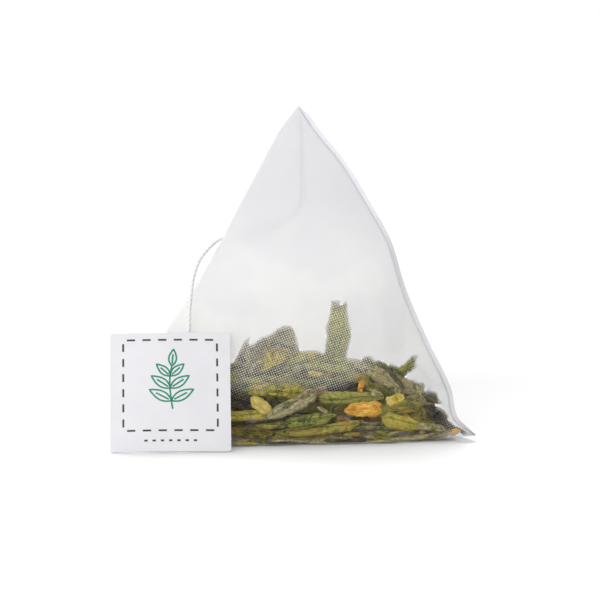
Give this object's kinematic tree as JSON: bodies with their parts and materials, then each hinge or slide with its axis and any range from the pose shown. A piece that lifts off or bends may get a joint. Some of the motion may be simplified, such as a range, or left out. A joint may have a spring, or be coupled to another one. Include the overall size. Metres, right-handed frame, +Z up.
{
  "type": "pyramid tea bag",
  "caption": "Pyramid tea bag of fine woven mesh, filled with loose green leaf tea and petals, with a cotton string and a square paper tag.",
  "frame": {"origin": "on the table plane, below the centre of the bag's own box (string and tag left out)", "axes": "+Z up out of the table, +X to the right as the front with the tag is seen, +Y from the front edge to the back tip"},
  "size_m": [0.0676, 0.0644, 0.0606],
  "materials": {
    "woven_mesh": "fine woven mesh, soft sheen",
    "cotton": "twisted yarn, matte",
    "card": "smooth uncoated card",
    "leaf_green": "dried leaf, matte",
    "leaf_yellow_green": "dried leaf, matte",
    "leaf_olive": "dried leaf, matte",
    "leaf_grey": "dried leaf, matte",
    "leaf_dark": "dried leaf, matte",
    "petal_orange": "dried petal, matte",
    "petal_yellow": "dried petal, matte",
    "petal_tan": "dried petal, matte"
  },
  "bodies": {
    "root": {"mesh_bag": "woven_mesh", "string": "cotton", "tag": "card", "chip_orange_tip": "petal_orange", "leaf_right_tip": "leaf_dark", "leaf_right_tip_low": "leaf_grey", "leaf_grey_slanted": "leaf_grey", "petal_orange_large": "petal_orange", "leaf_bright_right": "leaf_yellow_green", "chip_pale": "petal_yellow", "leaf_long_green": "leaf_green", "petal_yellow_small": "petal_yellow", "leaf_lens_green": "leaf_green", "leaf_left_green": "leaf_yellow_green", "leaf_low_middle": "leaf_olive", "leaf_low_right": "leaf_grey", "leaf_low_left": "leaf_olive", "leaf_pale_left": "leaf_grey", "stalk_tan": "petal_tan", "petal_tan": "petal_tan", "leaf_tan_right": "petal_tan", "leaf_bright_upper": "leaf_yellow_green", "leaf_dark_left": "leaf_dark", "stalk_green": "leaf_green", "bit_orange_upper": "petal_orange", "leaf_rolled_dark": "leaf_dark", "bit_brown_upper": "petal_tan", "leaf_grey_middle": "leaf_grey", "leaf_grey_right": "leaf_grey", "leaf_behind_tag_upper": "leaf_green", "leaf_behind_tag_lower": "leaf_olive", "leaf_standing": "leaf_green", "leaf_mid_left": "leaf_green", "leaf_mid_centre": "leaf_olive", "leaf_spike": "leaf_grey", "leaf_crumpled": "leaf_grey", "leaf_mid_right": "leaf_green", "leaf_pair_upper": "leaf_green", "leaf_pair_lower": "leaf_green", "stalk_dark": "leaf_dark", "chip_dark_right": "leaf_dark", "leaf_inside_01": "leaf_olive", "leaf_inside_02": "leaf_green", "leaf_inside_03": "leaf_grey", "leaf_inside_04": "leaf_yellow_green", "leaf_inside_05": "leaf_olive", "leaf_inside_06": "leaf_dark", "leaf_inside_07": "leaf_olive", "leaf_inside_08": "leaf_green", "leaf_inside_09": "leaf_grey", "leaf_inside_10": "leaf_yellow_green", "leaf_inside_11": "leaf_olive", "leaf_inside_12": "leaf_dark", "leaf_inside_13": "leaf_olive", "leaf_inside_14": "leaf_green", "leaf_inside_15": "leaf_grey", "leaf_inside_16": "leaf_yellow_green", "leaf_inside_17": "leaf_olive", "leaf_inside_18": "leaf_dark", "leaf_inside_19": "leaf_olive"}
  },
  "joints": []
}
